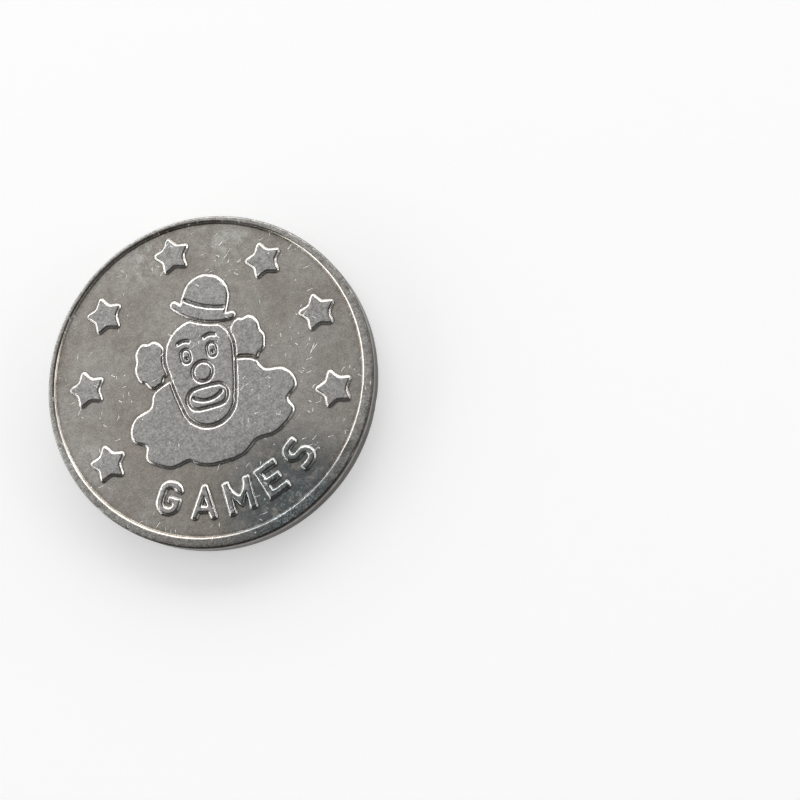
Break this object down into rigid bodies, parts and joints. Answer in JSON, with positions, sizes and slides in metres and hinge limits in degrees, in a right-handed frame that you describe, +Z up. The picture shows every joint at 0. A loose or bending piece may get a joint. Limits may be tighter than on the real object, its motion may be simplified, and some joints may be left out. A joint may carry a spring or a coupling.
{
  "type": "arcade token",
  "caption": "Round coined steel token with a raised rim, stars, lettering and a clown's head in low relief, for coin-operated amusement machines.",
  "frame": {"origin": "centre of the underside, on the plane of the lower rim", "axes": "+Z up through the obverse face, +Y towards the top of the design, +X to the design's right"},
  "size_m": [0.025, 0.025, 0.0018],
  "materials": {
    "token_steel": "satin, struck, lightly worn"
  },
  "bodies": {
    "root": {"token": "token_steel"}
  },
  "joints": []
}
